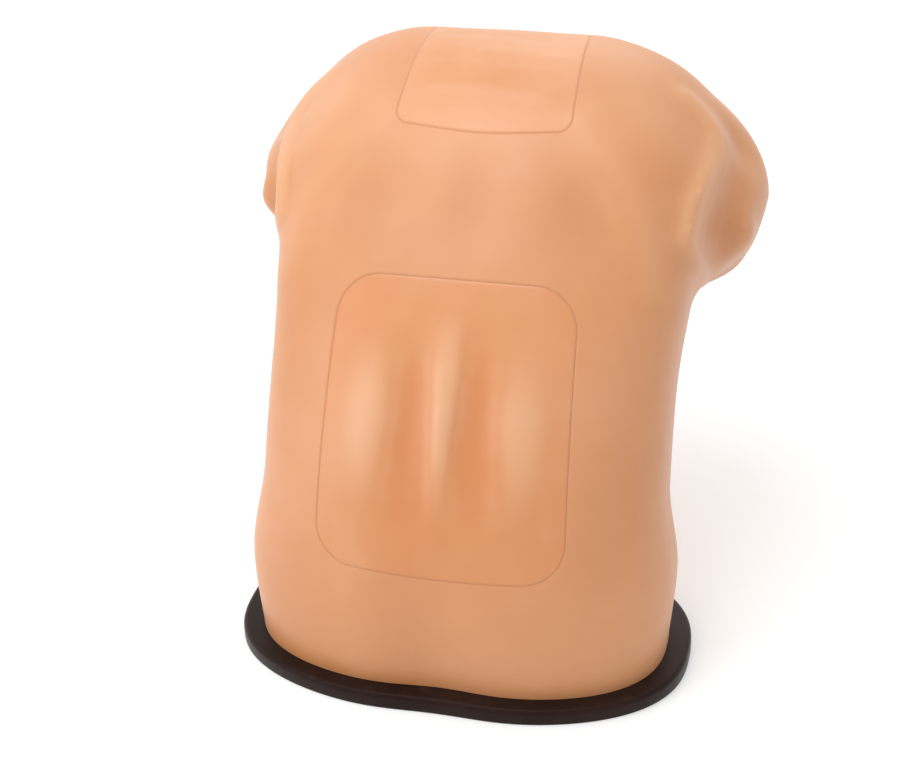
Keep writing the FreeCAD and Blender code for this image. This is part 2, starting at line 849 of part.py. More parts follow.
def main():
    os.makedirs("parts", exist_ok=True)
    outer = rounded_neck(body_solid(0.0, -foot_height, neck_height), neck_rounding)
    under_skin = body_solid(shell_wall, -foot_height - hollow_overrun, neck_height - shell_wall)
    lumbar_frame = Frame(lumbar_low, lumbar_high)
    upper_frame = Frame(upper_low, upper_high)
    lumbar = lumbar_pieces(SpineArc(lumbar_low, lumbar_high, lumbar_canal_depth, lumbar_canal_depth))
    upper_arc = SpineArc(upper_low, upper_high, upper_canal_low_depth, upper_canal_high_depth)
    upper = spine_pieces("upper", "t", upper_count, UPPER_BONE, upper_arc, upper_pitch, upper_offset)
    LUMBAR["depth"] = lumbar_frame.depth_of(list(lumbar.values())) + lumbar_cover
    UPPER["depth"] = upper_frame.depth_of(list(upper.values())) + upper_cover
    print("depths", round(LUMBAR["depth"], 2), round(UPPER["depth"], 2))
    nodes = {
        "torso_shell": torso_shell(outer, under_skin, lumbar_frame, upper_frame),
        "base_plate": base_plate(),
        "base_screws": base_screws(),
        "lumbar_tray": tray(lumbar_frame, LUMBAR, under_skin),
        "upper_tray": tray(upper_frame, UPPER, under_skin),
    }
    block = insert_prism(lumbar_frame, LUMBAR, 0.0, -LUMBAR["depth"], cut_reach)
    nodes["lumbar_tissue"] = block.common(relief_cutter(lumbar_frame, LUMBAR)).cut(list(lumbar.values()))
    block = insert_prism(upper_frame, UPPER, 0.0, -UPPER["depth"], cut_reach)
    nodes["upper_tissue"] = block.common(outer).cut(list(upper.values()))
    nodes.update(lumbar)
    nodes.update(upper)
    for name, shape in nodes.items():
        print(name, shape.isValid(), len(shape.Solids), round(shape.Volume / 1000, 1), "ml")
        shape.exportStep("parts/" + name + ".step")


main()
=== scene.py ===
import json
import math

import bpy
import numpy as np
from mathutils import Matrix, Vector

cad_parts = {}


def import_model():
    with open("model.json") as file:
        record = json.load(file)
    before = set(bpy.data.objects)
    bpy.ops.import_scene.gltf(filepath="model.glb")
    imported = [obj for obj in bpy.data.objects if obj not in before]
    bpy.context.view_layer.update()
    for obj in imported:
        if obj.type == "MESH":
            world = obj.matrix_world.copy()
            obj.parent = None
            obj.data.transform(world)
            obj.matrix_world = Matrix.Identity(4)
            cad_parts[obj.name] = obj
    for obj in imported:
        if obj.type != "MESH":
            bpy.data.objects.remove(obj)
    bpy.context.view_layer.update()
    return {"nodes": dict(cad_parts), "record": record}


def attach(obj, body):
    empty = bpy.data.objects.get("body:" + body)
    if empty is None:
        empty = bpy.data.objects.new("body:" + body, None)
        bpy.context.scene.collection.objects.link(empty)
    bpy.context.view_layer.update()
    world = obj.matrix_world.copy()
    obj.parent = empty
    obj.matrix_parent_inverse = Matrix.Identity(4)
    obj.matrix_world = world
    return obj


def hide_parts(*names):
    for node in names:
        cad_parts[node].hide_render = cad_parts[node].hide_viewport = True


# Looks of the lumbar puncture trainer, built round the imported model.
# Lengths in the formulas are millimetres, and pieces are put in as metres.

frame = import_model()

MM = 0.001
HALVINGS = 30

# The straight body: x across, y forward, s up the spine. It is then bent forward, with
# a lean in degrees that grows along the spine.
SPINE_LENGTH = 560.0
LEAN_EVEN = 65.0
LEAN_GROWING = 15.0
SECTION_POWER = 2.5
FOOT_HEIGHT = 3.0
# Height, half width, depth to the back, depth to the front.
BODY_SECTIONS = np.array([
    (0.0, 187.0, 105.0, 110.0),
    (70.0, 192.0, 110.0, 118.0),
    (150.0, 181.0, 108.0, 118.0),
    (230.0, 180.0, 103.0, 114.0),
    (310.0, 184.0, 101.0, 116.0),
    (390.0, 196.0, 105.0, 120.0),
    (455.0, 168.0, 99.0, 108.0),
    (515.0, 160.0, 81.0, 74.0),
    (555.0, 100.0, 32.0, 71.0),
    (620.0, 60.0, 12.0, 78.0),
])
NECK_HEIGHT, NECK_ROUNDING = 600.0, 6.0
YOKE_POINT, YOKE_RADIUS, YOKE_SOFTNESS, YOKE_BLEND = (45.0, 4.0, 458.0), 73.0, 60.0, 84.0
SHOULDER_POINT, SHOULDER_RADIUS = (163.0, 52.0, 456.0), 63.0
STUMP_POINT, STUMP_RADIUS, ARM_BLEND = (166.0, 95.0, 412.0), 43.0, 42.0
GROOVE_DEPTH, GROOVE_WIDTH, GROOVE_HEIGHT = 6.0, 46.0, 95.0
DIP_DEPTH, DIP_WIDTH, DIP_PLACE, DIP_HEIGHT = 11.0, 72.0, 520.0, 40.0
FRONT_RUN = 9.0
SHELL_WALL = 4.5
PLATE_THICKNESS, PLATE_EDGE_RADIUS, PLATE_FOOT_RADIUS = 15.0, 4.5, 1.2
RIM_SIDE, RIM_BACK, RIM_FRONT = 20.0, 18.5, 20.0
FLANGE_WIDTH, FLANGE_THICKNESS = 22.0, 5.0
LAND_GAP, LAND_HEIGHT = 0.6, 3.0
SCREW_ANGLES = (0.0, 58.0, 122.0, 180.0, 238.0, 302.0)
SCREW_SEAT, HEAD_HOLE, SHANK_HOLE, HOLE_COVER = 7.0, 10.0, 5.5, 1.0
INSERT_GAP = 0.6
# Between which heights on the body, and levels over a window, the skin is looked for.
HEIGHT_LIMITS, LEVEL_LIMITS = (-50.0, 660.0), (-90.0, 60.0)

# Window inserts: heights up the body, half widths, corner, sag of the lower edge, depth of the block.
LUMBAR = dict(low=94.0, high=299.0, half_low=110.0, half_high=103.0, corner=38.0, sag=3.0, depth=110.4)
UPPER = dict(low=409.0, high=532.0, half_low=78.0, half_high=70.0, corner=14.0, sag=7.0, depth=97.9)

# Soft lines on the back, as (x, s) on one side: the fold above the arm, the valley
# between it and the stump, and the edge of the shoulder blade.
ARM_FOLD = (
    (165.0, 478.0), (183.0, 471.0), (195.0, 459.0), (198.0, 438.0),
    (194.0, 405.0), (188.0, 378.0), (184.0, 350.0),
)
ARM_VALLEY = (
    (190.0, 492.0), (205.0, 474.0), (210.0, 452.0), (209.0, 425.0),
    (206.0, 398.0), (204.0, 378.0), (203.0, 362.0),
)
BLADE_EDGE = (
    (90.0, 421.0), (98.0, 406.0), (114.0, 389.0), (130.0, 372.0),
    (144.0, 355.0), (156.0, 334.0), (162.0, 309.0),
)
# Height and width of each line, and what is added to it below LOWER_PLACE.
FOLD_HEIGHT, FOLD_WIDTH = 2.4, 13.0
CREST_HEIGHT, CREST_ADDED, CREST_WIDTH = 2.0, 2.0, 8.0
VALLEY_DEPTH, VALLEY_ADDED, VALLEY_WIDTH = 4.2, 7.0, 12.0
EDGE_HEIGHT, EDGE_WIDTH = 1.7, 18.0
LOWER_PLACE, LOWER_RUN = 402.0, 10.0
LINES_MIDDLE, LINES_RUN = 412.0, 76.0
RELIEF_END, RELIEF_END_RUN = 22.0, 9.0
# Bells (height, centre, widths). On the back, in x and s: the shoulder blade, and the
# hollow down the middle and beside it. On the arm, in x, y and s: the end of the stump,
# the slope of the shoulder and the cut under the stump.
BACK_BELLS = (
    (2.0, (138.0, 440.0), (44.0, 52.0)),
    (-2.2, (0.0, 352.0), (24.0, 46.0)),
    (-2.5, (96.0, 352.0), (30.0, 34.0)),
)
ARM_BELLS = (
    (5.0, (225.0, 28.0, 396.0), (25.0, 25.0, 18.0)),
    (-6.5, (218.0, 0.0, 473.0), (26.0, 25.0, 24.0)),
    (-12.0, (202.0, 106.0, 380.0), (30.0, 32.0, 20.0)),
)


# Body form.
def between(value, places, levels):
    """Smooth curve through the levels at the places: cubic pieces whose slopes are
    the harmonic mean of the neighbouring chords, or level where those change sign."""
    step = np.diff(places)
    chord = np.diff(levels) / step
    before, after = chord[:-1], chord[1:]
    rising = before * after > 0
    inner = np.where(rising, 2 * before * after / np.where(rising, before + after, 1.0), 0.0)
    slope = np.concatenate([chord[:1], inner, chord[-1:]])
    value = np.clip(value, places[0], places[-1])
    part = np.clip(np.searchsorted(places, value, side="right") - 1, 0, len(places) - 2)
    width = step[part]
    share = (value - places[part]) / width
    start = (2 * share**3 - 3 * share**2 + 1) * levels[part]
    start = start + (share**3 - 2 * share**2 + share) * width * slope[part]
    end = (3 * share**2 - 2 * share**3) * levels[part + 1]
    return start + end + (share**3 - share**2) * width * slope[part + 1]


def soft_step(value, place, run):
    """Soft step from 0 to 1 at a place, 1 / (1 + exp((place - value) / run)), which falls
    where the run is negative."""
    return 1 / (1 + np.exp((place - value) / run))


def bell(place, height, centre, widths):
    """Bell round a centre: the height times exp(-(distance / width)^2) in each direction."""
    squares = (((value - middle) / width) ** 2 for value, middle, width in zip(place, centre, widths))
    return height * np.exp(-sum(squares))


def stroke(x, s, line, width):
    """Soft stroke along a broken line: exp(-(distance / width)^2), at most 1."""
    square = np.full(np.shape(x), np.inf)
    for (start_x, start_s), (end_x, end_s) in zip(line, line[1:]):
        run_x, run_s = end_x - start_x, end_s - start_s
        share = ((x - start_x) * run_x + (s - start_s) * run_s) / (run_x**2 + run_s**2)
        share = np.clip(share, 0, 1)
        away = (x - start_x - share * run_x) ** 2 + (s - start_s - share * run_s) ** 2
        square = np.minimum(square, away)
    return np.exp(-square / width**2)


def halved(low, high, holds):
    """Where a test that holds at the low values stops holding, by halving the gap."""
    for _ in range(HALVINGS):
        middle = (low + high) / 2
        held = holds(middle)
        low, high = np.where(held, middle, low), np.where(held, high, middle)
    return low


def smaller(first, second, width):
    """Smaller of two distances, rounded over the width."""
    share = np.clip(0.5 + 0.5 * (second - first) / width, 0, 1)
    return second * (1 - share) + first * share - width * share * (1 - share)


def cone_distance(x, y, s, start, end, start_radius, end_radius):
    """Distance from a cone with round ends: distance to the axis less the radius there."""
    offset = np.stack([x - start[0], y - start[1], s - start[2]], -1)
    axis = np.subtract(end, start)
    share = np.clip(offset @ axis / (axis @ axis), 0, 1)
    gap = np.linalg.norm(offset - share[..., None] * axis, axis=-1)
    return gap - (start_radius + share * (end_radius - start_radius))


def back_relief(x, y, s):
    """Relief of the upper back: a fold above the arm with a valley beside it, a shoulder
    blade with its edge and a shallow hollow down the middle, fading on the front."""
    side = np.abs(x)
    lower = soft_step(s, LOWER_PLACE, -LOWER_RUN)
    crest = (CREST_HEIGHT + CREST_ADDED * lower) * stroke(side, s, ARM_FOLD, CREST_WIDTH)
    fold = FOLD_HEIGHT * stroke(side, s, ARM_FOLD, FOLD_WIDTH) + crest
    valley = (VALLEY_DEPTH + VALLEY_ADDED * lower) * stroke(side, s, ARM_VALLEY, VALLEY_WIDTH)
    ends = np.exp(-(((s - LINES_MIDDLE) / LINES_RUN) ** 4))
    edge = EDGE_HEIGHT * stroke(side, s, BLADE_EDGE, EDGE_WIDTH)
    blade = sum(bell((side, s), *values) for values in BACK_BELLS)
    return ((fold - valley) * ends + edge + blade) * soft_step(y, RELIEF_END, -RELIEF_END_RUN)


def arm_form(x, y, s):
    """Fullness of the arms: more at the end of the stump, less on the shoulder and under the stump."""
    return sum(bell((np.abs(x), y, s), *values) for values in ARM_BELLS)


def section_level(x, y, s, inset):
    """Distance outside the trunk's own section, a rounded oval of power 2.5, with a groove
    low on the back and a dip behind the neck. The depth that the distance is scaled by
    passes softly from the back to the front."""
    heights, *columns = BODY_SECTIONS.T
    half_width, back, front = (between(s, heights, column) - inset for column in columns)
    groove = np.exp(-((s / GROOVE_HEIGHT) ** 2) - (x / GROOVE_WIDTH) ** 2)
    dip = np.exp(-(((s - DIP_PLACE) / DIP_HEIGHT) ** 2) - (x / DIP_WIDTH) ** 4)
    depth = np.where(y < 0, back - GROOVE_DEPTH * groove - DIP_DEPTH * dip, front)
    reach = (np.abs(x) / half_width) ** SECTION_POWER + (np.abs(y) / depth) ** SECTION_POWER
    scale = np.minimum(half_width, back + (front - back) * soft_step(y, 0.0, FRONT_RUN))
    return (reach ** (1 / SECTION_POWER) - 1) * scale


def body_distance(x, y, s, inset):
    """Distance outside the straight body: trunk, yoke and arm joined softly, less the relief."""
    soft = np.hypot(x, YOKE_SOFTNESS)
    trunk = section_level(x, y, s, inset)
    radii = [radius - inset for radius in (YOKE_RADIUS, SHOULDER_RADIUS, STUMP_RADIUS)]
    yoke = cone_distance(soft, y, s, YOKE_POINT, SHOULDER_POINT, radii[0], radii[1])
    arm = cone_distance(np.abs(x), y, s, SHOULDER_POINT, STUMP_POINT, radii[1], radii[2])
    joined = smaller(smaller(trunk, yoke, YOKE_BLEND), arm, ARM_BLEND)
    return joined - back_relief(x, y, s) - arm_form(x, y, s)


def lean_at(s):
    """Forward lean of the spine at a height along it, in radians."""
    share = np.maximum(s, 0) / SPINE_LENGTH
    return np.radians(LEAN_EVEN * share + LEAN_GROWING * share * share)


# Places along the bent spine, each the mean direction of the steps up to it times its length.
SPINE_TABLE = np.linspace(-60.0, 720.0, 1561)
STEP_LEANS = lean_at(SPINE_TABLE[:, None] * (np.arange(24) + 0.5) / 24)
SPINE_Y = np.sin(STEP_LEANS).mean(1) * SPINE_TABLE
SPINE_Z = np.cos(STEP_LEANS).mean(1) * SPINE_TABLE + PLATE_THICKNESS + FOOT_HEIGHT


def bent(x, y, s):
    """Points of the straight body after it is bent along the spine."""
    angle = lean_at(s)
    middle_y = np.interp(s, SPINE_TABLE, SPINE_Y)
    middle_z = np.interp(s, SPINE_TABLE, SPINE_Z)
    return np.stack([x, middle_y + y * np.cos(angle), middle_z - y * np.sin(angle)], -1)


def from_section(points, s):
    """How far bent points lie forward in the section plane at s, and how far beyond it."""
    angle = lean_at(s)
    offset_y = points[..., 1] - np.interp(s, SPINE_TABLE, SPINE_Y)
    offset_z = points[..., 2] - np.interp(s, SPINE_TABLE, SPINE_Z)
    forward = offset_y * np.cos(angle) - offset_z * np.sin(angle)
    return forward, offset_y * np.sin(angle) + offset_z * np.cos(angle)


def straightened(points):
    """The x, y, s of bent points: the height where the section plane holds the point."""
    low, high = (np.full(points.shape[:-1], limit) for limit in HEIGHT_LIMITS)
    s = halved(low, high, lambda height: from_section(points, height)[1] > 0)
    return points[..., 0], from_section(points, s)[0], s


# Rays from the core to the skin: shares of the way up with their heights and tilts in
# degrees, and the length of a ray, which is more than the body's reach.
RAY_SHARES = np.array([0.0, 0.45, 0.58, 0.70, 0.84, 1.0])
RAY_HEIGHTS = (340.0, 420.0, 460.0, 505.0)
RAY_TILTS = np.array([0.0, 0.0, -6.0, 8.0, 14.0, 0.0])
RAY_LENGTH = 420.0


def ray_places(share, low, high):
    """Height on the core, and tilt in radians, of the rays of a row."""
    heights = np.array([low, *RAY_HEIGHTS, high])
    return between(share, RAY_SHARES, heights), np.radians(between(share, RAY_SHARES, RAY_TILTS))


def cast(height, tilt, turn, inset):
    """Straight-body points where rays from the core leave the skin."""
    direction = -np.cos(tilt) * np.sin(turn), np.cos(tilt) * np.cos(turn), np.sin(tilt)

    def inside(length):
        x, y, rise = (share * length for share in direction)
        return body_distance(x, y, height + rise, inset) < 0

    start = np.zeros(np.broadcast(height, turn).shape)
    length = halved(start, start + RAY_LENGTH, inside)
    return direction[0] * length, direction[1] * length, height + direction[2] * length


class Side:
    """One side of the shell: how far under the skin it lies and where it starts and ends."""

    def __init__(self, inset, low, high):
        self.inset, self.low, self.high = inset, low, high

    def points(self, share, turn):
        """Bent points, and the relief there, for the rays named by share and turn."""
        height, tilt = ray_places(share, self.low, self.high)
        straight = cast(height, tilt, turn, self.inset)
        return bent(*straight), back_relief(*straight)


OUTSIDE = Side(0.0, -FOOT_HEIGHT, NECK_HEIGHT - NECK_ROUNDING)
INSIDE = Side(SHELL_WALL, FLANGE_THICKNESS - FOOT_HEIGHT, NECK_HEIGHT - SHELL_WALL)


def ray_through(points, face):
    """Share and turn of the rays of one side that pass through the bent points."""
    x, y, s = straightened(points)

    def under(share):
        height, tilt = ray_places(share, face.low, face.high)
        return height + np.hypot(x, y) * np.tan(tilt) < s

    return halved(np.zeros(x.shape), np.ones(x.shape), under), np.arctan2(-x, y) % (2 * np.pi)


# Window frames. Steps from the middle of a corner to its end, and along a side between corners.
CORNER_HALF, RUN_STEPS = 32, 40


def unit(vector):
    """The vector at length one."""
    return vector / np.linalg.norm(vector)


def risen(depth, run):
    """0 at no depth, rising to 1: 1 - exp(-(depth / run)^2)."""
    return 1 - np.exp(-(np.maximum(depth / run, 0) ** 2))


class Window:
    """Flat frame on the back that an insert's outline is drawn in: across, along and outward."""

    def __init__(self, insert):
        self.insert = insert
        heights = np.array([insert["low"], (insert["low"] + insert["high"]) / 2, insert["high"]])
        foot, middle, head = bent(*cast(heights, np.zeros(3), np.full(3, np.pi), 0.0))
        self.origin = middle
        self.along = unit(head - foot)
        self.outward = np.cross(self.along, (-1.0, 0.0, 0.0))
        self.low = (foot - middle) @ self.along
        self.high = (head - middle) @ self.along

    def at(self, flat, level):
        """Bent point over a flat (across, along) point, at a level outward."""
        place = self.origin + flat[..., 1:] * self.along + np.asarray(level)[..., None] * self.outward
        place[..., 0] += flat[..., 0]
        return place

    def skin(self, flat, inset=0.0):
        """Level of the skin over flat points, along the outward direction."""
        def inside(level):
            return body_distance(*straightened(self.at(flat, level)), inset) < 0

        low, high = (np.full(flat.shape[:-1], limit) for limit in LEVEL_LIMITS)
        return halved(low, high, inside)

    def inner_share(self, flat, run):
        """0 at the lower and upper edge of the window, rising to 1 over a run inside them."""
        depth = np.minimum(flat[..., 1] - self.low, self.high - flat[..., 1])
        return risen(depth, run)

    def corner_arcs(self, grow):
        """The four rounded corners of the outline moved outward by grow, each an even arc."""
        shape = self.insert
        low, high = self.low - grow, self.high + grow
        half_low, half_high = shape["half_low"] + grow, shape["half_high"] + grow
        corners = np.array([(-half_low, low), (half_low, low), (half_high, high), (-half_high, high)])
        radius = shape["corner"] + grow
        arcs = []
        for i in range(4):
            back = unit(corners[i - 1] - corners[i])
            ahead = unit(corners[(i + 1) % 4] - corners[i])
            half = math.acos(float(back @ ahead)) / 2
            centre = corners[i] + unit(back + ahead) * (radius / math.sin(half))
            first = corners[i] + back * (radius / math.tan(half)) - centre
            turn = np.linspace(0, np.pi - 2 * half, 2 * CORNER_HALF + 1)
            arcs.append(centre + np.stack([
                first[0] * np.cos(turn) - first[1] * np.sin(turn),
                first[0] * np.sin(turn) + first[1] * np.cos(turn),
            ], -1))
        return arcs

    def sides(self, grow, counts):
        """Four sides of the outline, each from the middle of one rounded corner to the
        middle of the next, moved outward by grow, with evenly spaced points."""
        arcs = self.corner_arcs(grow)
        sides = []
        for i in range(4):
            start, end = arcs[i][CORNER_HALF:], arcs[(i + 1) % 4][:CORNER_HALF + 1]
            share = np.linspace(0, 1, RUN_STEPS + 1)[1:-1, None]
            run = start[-1] * (1 - share) + end[0] * share
            if i == 0:
                run[:, 1] -= self.insert["sag"] * 4 * (share * (1 - share))[:, 0]
            path = np.concatenate([start, run, end])
            length = np.concatenate([[0], np.cumsum(np.linalg.norm(np.diff(path, axis=0), axis=1))])
            want = np.linspace(0, length[-1], counts[i] + 1)
            sides.append(np.stack([np.interp(want, length, path[:, k]) for k in (0, 1)], -1))
        return sides

    def loop(self, grow, counts):
        """The whole outline as one closed loop of flat points."""
        return np.concatenate([side[:-1] for side in self.sides(grow, counts)])

    def patch(self, grow, counts):
        """Grid that fills the outline: each inner point is the two side blends added,
        less the blend of the four corners."""
        low, right, high, left = self.sides(grow, counts)
        high, left = high[::-1], left[::-1]
        u = np.linspace(0, 1, counts[0] + 1)[None, :, None]
        v = np.linspace(0, 1, counts[1] + 1)[:, None, None]
        across = (1 - v) * low[None] + v * high[None]
        upward = (1 - u) * left[:, None] + u * right[:, None]
        low_corners = (1 - u) * (1 - v) * low[0] + u * (1 - v) * low[-1]
        return across + upward - (low_corners + (1 - u) * v * high[0] + u * v * high[-1])


# Mesh pieces.
SHARP_ANGLE = 35.0


def shown(name, data):
    """An object with the data, put into the scene."""
    made = bpy.data.objects.new(name, data)
    bpy.context.scene.collection.objects.link(made)
    return made


class Piece:
    """Points and faces of one piece, gathered as index arrays and put in at once."""

    def __init__(self):
        self.points, self.faces = [], []
        self.count = 0
        self.values = {"relief": [], "seam": []}

    def add(self, points, relief=0.0, seam=0.0):
        """Adds bent points in millimetres and gives their index array. The relief is in
        millimetres and steers the painted highlight and shade of the skin, and the seam
        is 1 in the joint round an insert, where shade is painted into the gap."""
        shape = points.shape[:-1]
        size = int(np.prod(shape))
        self.points.append(points.reshape(-1, 3))
        self.values["relief"].append(np.broadcast_to(relief, shape).reshape(-1))
        self.values["seam"].append(np.broadcast_to(seam, shape).reshape(-1))
        index = np.arange(self.count, self.count + size).reshape(shape)
        self.count += size
        return index

    def at(self, index):
        """The points of an index array."""
        return np.concatenate(self.points)[index]

    def sheet(self, index, kept=None):
        """Faces between the rows and columns of an index array, or the kept ones."""
        quads = np.stack([index[:-1, :-1], index[:-1, 1:], index[1:, 1:], index[1:, :-1]], -1)
        self.faces.append(quads[kept] if kept is not None else quads.reshape(-1, 4))

    def bands(self, loops):
        """Faces between closed loops of as many points, one loop after the other."""
        index = np.stack(loops)
        self.sheet(np.concatenate([index, index[:, :1]], 1))

    def lid(self, loop):
        """One flat face over a closed loop."""
        self.faces.append(np.asarray(loop)[None])

    def put(self, name, material, node):
        """Makes the object that stands for a node, smooth apart from its sharp edges."""
        mesh = bpy.data.meshes.new(name)
        points = np.concatenate(self.points) * MM
        starts = np.concatenate([np.full(len(faces), faces.shape[1]) for faces in self.faces])
        corners = np.concatenate([faces.reshape(-1) for faces in self.faces])
        mesh.vertices.add(len(points))
        mesh.vertices.foreach_set("co", points.astype(np.float32).ravel())
        mesh.loops.add(len(corners))
        mesh.loops.foreach_set("vertex_index", corners.astype(np.int32))
        mesh.polygons.add(len(starts))
        mesh.polygons.foreach_set("loop_start", (np.cumsum(starts) - starts).astype(np.int32))
        mesh.update(calc_edges=True)
        mesh.validate()
        mesh.polygons.foreach_set("use_smooth", np.ones(len(mesh.polygons), bool))
        for label, values in self.values.items():
            attribute = mesh.attributes.new(label, "FLOAT", "POINT")
            attribute.data.foreach_set("value", np.concatenate(values).astype(np.float32))
        mesh.set_sharp_from_angle(angle=math.radians(SHARP_ANGLE))
        mesh.materials.append(material)
        piece = shown(name, mesh)
        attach(piece, "root")
        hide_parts(node)


# The lip round a window and an insert, with the small gap that stays between the two.
SEAM_GAP, LIP_WIDTH, LIP_DEPTH = 0.06, 2.4, 0.55
LIP_SHARES = (0.2, 0.4, 0.6, 0.8, 1.0)


def lipped(window, piece, counts, inward, relief=None):
    """Loops of a soft lip, lower by the square of the share of its width, down to the wall
    below it. Inward is 1 for a window, whose wall is inside its edge, and -1 for an insert."""
    loops = []
    gap = SEAM_GAP if inward > 0 else 0.0
    for share in LIP_SHARES:
        flat = window.loop(gap + inward * LIP_WIDTH * (1 - share), counts)
        level = window.skin(flat) + (relief(flat) if relief else 0.0)
        # The seam value, which paints shade into the gap, rises as the cube of the way down the lip.
        loops.append(piece.add(window.at(flat, level - LIP_DEPTH * share**2), 0.0, share**3))
    return loops


# Lumbar relief: places, widths and runs in the window's frame, across and along.
RIDGE = dict(height=4.2, power=2.6, width=10.5, along=18.0, run=74.0)
RIDGE_WIDENING, RIDGE_WIDENING_PLACE, RIDGE_WIDENING_RUN = 4.0, 40.0, 14.0
SWELLING, SWELLING_PLACE, VERTEBRA_PITCH = 0.06, 12.0, 35.0
FURROW_DEPTH, FURROW_PLACE, FURROW_RUN = 3.8, (31.0, -8.0), 74.0
FURROW_WIDTH, FURROW_WIDENING, FURROW_WIDENING_RUN = 16.0, 5.0, 18.0
MUSCLE = (3.6, (64.0, 4.0), (25.0, 62.0))
LUMBAR_EDGE_RUN = 30.0
# Upper relief: bands of two heights and lengths that wander across, and the plain edges.
FINE_BAND, FINE_LENGTH, FINE_WANDER, FINE_WANDER_LENGTH = 0.18, 3.6, 0.5, 21.0
BROAD_BAND, BROAD_LENGTH, BROAD_SLANT_LENGTH = 0.36, 8.3, 60.0
BAND_HALF_WIDTH, UPPER_EDGE_RUN = 74.0, 14.0


def lumbar_relief(flat):
    """Ridge over the spines, a furrow and a muscle roll on either side, each a bell across
    and a longer bell along. The ridge has a rounder top, is wider in its upper half and
    swells slightly over each vertebra; the furrows widen downward."""
    side, along = np.abs(flat[..., 0]), flat[..., 1]
    swelling = 1 + SWELLING * np.cos(2 * np.pi * (along - SWELLING_PLACE) / VERTEBRA_PITCH)
    width = RIDGE["width"] + RIDGE_WIDENING * soft_step(along, RIDGE_WIDENING_PLACE, RIDGE_WIDENING_RUN)
    fall = (side / width) ** RIDGE["power"] + ((along - RIDGE["along"]) / RIDGE["run"]) ** 2
    ridge = RIDGE["height"] * swelling * np.exp(-fall)
    furrow_width = FURROW_WIDTH + FURROW_WIDENING * soft_step(along, 0.0, -FURROW_WIDENING_RUN)
    furrow = bell((side, along), FURROW_DEPTH, FURROW_PLACE, (furrow_width, FURROW_RUN))
    muscle = bell((side, along), *MUSCLE)
    return (ridge - furrow + muscle) * LUMBAR_WINDOW.inner_share(flat, LUMBAR_EDGE_RUN)


def upper_relief(flat):
    """Faint bands across the upper insert, about half a millimetre high, fading at its edges."""
    across, along = flat[..., 0], flat[..., 1]
    fine = FINE_BAND * np.sin(along / FINE_LENGTH + FINE_WANDER * np.sin(across / FINE_WANDER_LENGTH))
    broad = BROAD_BAND * np.sin(along / BROAD_LENGTH + across / BROAD_SLANT_LENGTH)
    side = risen(BAND_HALF_WIDTH - np.abs(across), UPPER_EDGE_RUN)
    return (fine + broad) * UPPER_WINDOW.inner_share(flat, UPPER_EDGE_RUN) * side


LUMBAR_WINDOW = Window(LUMBAR)
UPPER_WINDOW = Window(UPPER)

# Rows and columns of the shell's grid, cells on each side of an insert and of a window,
# how far beyond a window the grid's cells are left out, and where the loops of the collars
# lie between the window and the grid.
SHELL_GRID = ((150, 232))
INSERT_CELLS = (150,) * 4
WINDOW_CELLS = (40,) * 4
SHARE_MARGIN, TURN_MARGIN = 0.012, 0.05
OUTER_COLLAR = np.array([0.03, 0.08, 0.17, 0.3, 0.46, 0.64, 0.82])[:, None]
INNER_COLLAR = np.array([0.2, 0.5, 0.8])[:, None]


def torso_piece(material):
    """Shell of the torso: outer and inner skin on one grid of rays, with the cells at
    each window left out and a collar that runs from them to the window's edge."""
    rows, columns = SHELL_GRID
    share = np.linspace(0, 1, rows)
    turn = np.linspace(0, 2 * np.pi, columns, endpoint=False)
    holes = []
    kept = np.ones((rows - 1, columns), bool)
    for window in (LUMBAR_WINDOW, UPPER_WINDOW):
        flat = window.loop(INSERT_GAP, WINDOW_CELLS)
        shares, turns = ray_through(window.at(flat, window.skin(flat)), OUTSIDE)
        low = np.searchsorted(share, shares.min() - SHARE_MARGIN) - 1
        high = np.searchsorted(share, shares.max() + SHARE_MARGIN)
        left = np.searchsorted(turn, turns.min() - TURN_MARGIN) - 1
        right = np.searchsorted(turn, turns.max() + TURN_MARGIN)
        kept[low:high, left:right] = False
        holes.append((window, low, high, left, right))
    body = Piece()
    outer, inner = (body.add(*face.points(share[:, None], turn[None])) for face in (OUTSIDE, INSIDE))
    body.sheet(np.concatenate([outer, outer[:, :1]], 1), kept)
    body.sheet(np.concatenate([inner, inner[:, :1]], 1)[:, ::-1], kept[:, ::-1])
    for window, low, high, left, right in holes:
        counts = (right - left, high - low, right - left, high - low)
        walls = []
        for grid, face in ((outer, OUTSIDE), (inner, INSIDE)):
            foot, head = grid[low, left:right], grid[high, right:left:-1]
            edge = np.concatenate([foot, grid[low:high, right], head, grid[high:low:-1, left]])
            walls.append(collar(body, window, edge, face, counts))
        body.bands([walls[0], *lipped(window, body, counts, 1), walls[1]])
    close_foot(body, outer[0], inner[0], turn)
    close_neck(body, outer[-1], inner[-1], turn)
    body.put("torso_skin", material, "torso_shell")


def collar(body, window, edge, face, counts):
    """Skin between a hole in the grid and a window: the rays' share and turn run
    evenly from the window's outline to the hole, closer together near the outline."""
    outside = face is OUTSIDE
    flat = window.loop(SEAM_GAP + LIP_WIDTH if outside else INSERT_GAP, counts)
    start = window.at(flat, window.skin(flat, face.inset))
    shares, turns = ray_through(start, face)
    edge_shares, edge_turns = ray_through(body.at(edge), face)
    steps = OUTER_COLLAR if outside else INNER_COLLAR
    share = shares * (1 - steps) + edge_shares * steps
    turn = turns * (1 - steps) + edge_turns * steps
    middle = body.add(*face.points(share, turn))
    # The inner edge of a window gets the full seam value, painted shade.
    first = body.add(start, back_relief(*straightened(start)), 0.0 if outside else 1.0)
    loops = [first, *middle, edge]
    body.bands(loops[::-1] if outside else loops)
    return first


def foot_outline(turn):
    """Directions from the middle of the foot, and how far its outline lies in them."""
    x, y, _ = cast(np.zeros_like(turn), np.zeros_like(turn), turn, 0.0)
    reach = np.hypot(x, y)
    return np.stack([x, y], -1) / reach[:, None], reach


